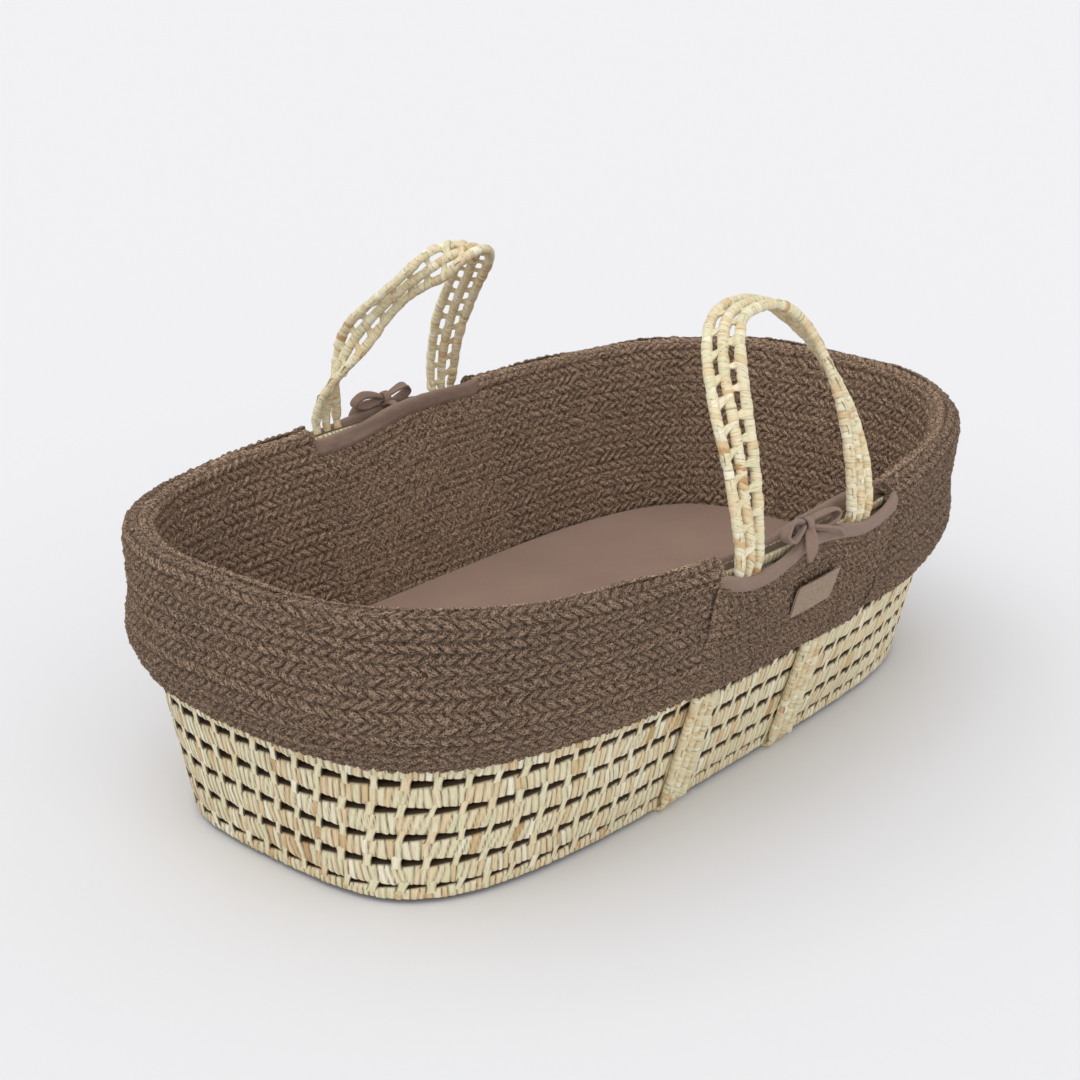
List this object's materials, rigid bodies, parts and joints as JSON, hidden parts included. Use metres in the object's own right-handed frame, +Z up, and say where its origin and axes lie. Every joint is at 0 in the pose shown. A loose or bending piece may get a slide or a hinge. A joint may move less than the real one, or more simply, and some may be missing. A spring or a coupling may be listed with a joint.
{
  "type": "moses basket",
  "caption": "Oval coiled-straw moses basket with a chunky knitted liner over its rim, a mattress with a fitted sheet and two carry handles on straps.",
  "frame": {"origin": "on the floor, under the middle of the basket's outline", "axes": "+X along the length to the head end, -Y the front, +Z up"},
  "size_m": [0.846, 0.532, 0.4275],
  "materials": {
    "straw": "dry plaited maize husk",
    "knit": "chunky textured knit",
    "jersey": "smooth matt jersey",
    "label": "matt suede-like patch",
    "mattress": "padded mattress ticking"
  },
  "bodies": {
    "basket": {"base_ring": "straw", "wall_coil_1": "straw", "wall_coil_2": "straw", "wall_coil_3": "straw", "wall_coil_4": "straw", "wall_coil_5": "straw", "wall_coil_6": "straw", "wall_coil_7": "straw", "wall_coil_8": "straw", "wall_coil_9": "straw", "rim_coil": "straw", "floor_coil_1": "straw", "floor_coil_2": "straw", "floor_coil_3": "straw", "floor_coil_4": "straw", "floor_coil_5": "straw", "floor_coil_6": "straw", "floor_centre_coil": "straw", "carry_strap_left": "straw", "carry_strap_right": "straw", "liner_end_left": "knit", "liner_end_right": "knit", "liner_outer_flap_front": "knit", "liner_outer_flap_back": "knit", "liner_inner_flap_front": "knit", "liner_inner_flap_back": "knit", "outer_binding_front": "jersey", "outer_binding_back": "jersey", "inner_binding_front": "jersey", "inner_binding_back": "jersey", "bow_front": "jersey", "bow_back": "jersey", "label_patch": "label", "liner_base_panel": "jersey"},
    "handle_front": {"handle_front_inner_cord": "straw", "handle_front_middle_cord": "straw", "handle_front_outer_cord": "straw"},
    "handle_back": {"handle_back_inner_cord": "straw", "handle_back_middle_cord": "straw", "handle_back_outer_cord": "straw"},
    "mattress": {"mattress_core": "mattress", "fitted_sheet": "jersey"}
  },
  "joints": [
    {"name": "handle_front_swing", "type": "hinge", "parent": "basket", "child": "handle_front", "pos_m": [-0.017, -0.257, 0.243], "axis": [1, 0, 0], "range_deg": [-45, 95]},
    {"name": "handle_back_swing", "type": "hinge", "parent": "basket", "child": "handle_back", "pos_m": [0.02, 0.257, 0.243], "axis": [1, 0, 0], "range_deg": [-95, 40]},
    {"name": "mattress_lift", "type": "slide", "parent": "basket", "child": "mattress", "axis": [0, 0, 1], "range_m": [0, 0.18]}
  ]
}
